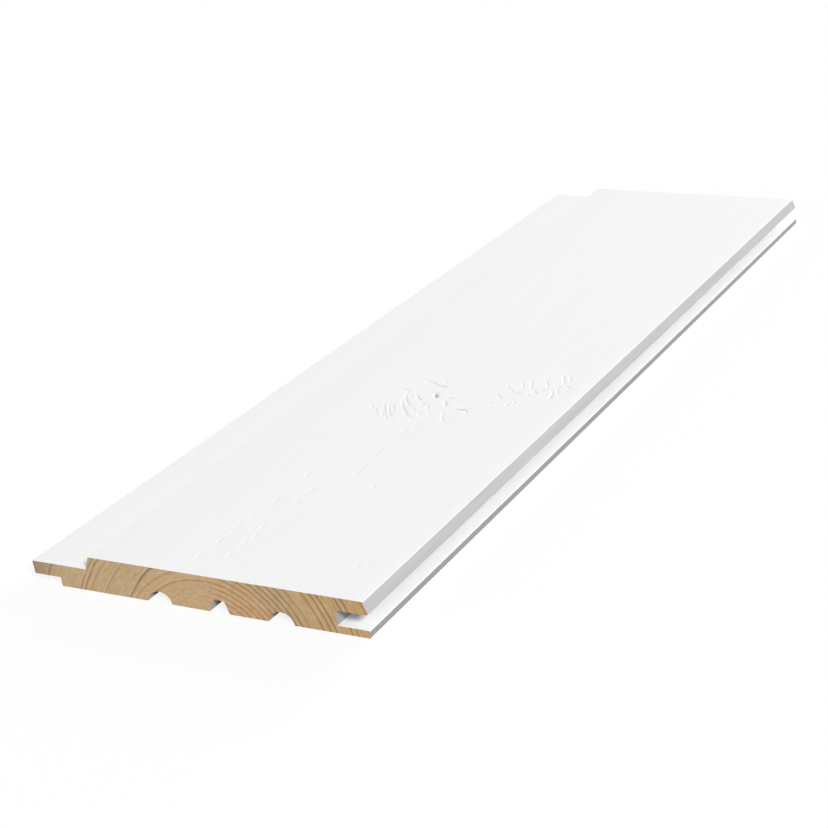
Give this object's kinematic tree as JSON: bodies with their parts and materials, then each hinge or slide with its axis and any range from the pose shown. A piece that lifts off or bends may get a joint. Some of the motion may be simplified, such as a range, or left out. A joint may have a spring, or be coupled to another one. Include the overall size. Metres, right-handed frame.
{
  "type": "tongue and groove board",
  "caption": "White-painted softwood panel board with a tongue on one long edge, a lipped groove on the other, relief grooves in its flat back and bare sawn ends.",
  "frame": {"origin": "middle of the back, halfway along the board and halfway from the tongue's tip to the groove's lower lip", "axes": "+X across the board towards the groove, -X towards the tongue, +Y along its length, +Z out of its face"},
  "size_m": [0.1449, 0.515, 0.014],
  "materials": {
    "painted_wood": "white satin paint on the long faces, over a faintly raised grain, and bare sawn wood on the two ends"
  },
  "bodies": {
    "root": {"board": "painted_wood"}
  },
  "joints": []
}
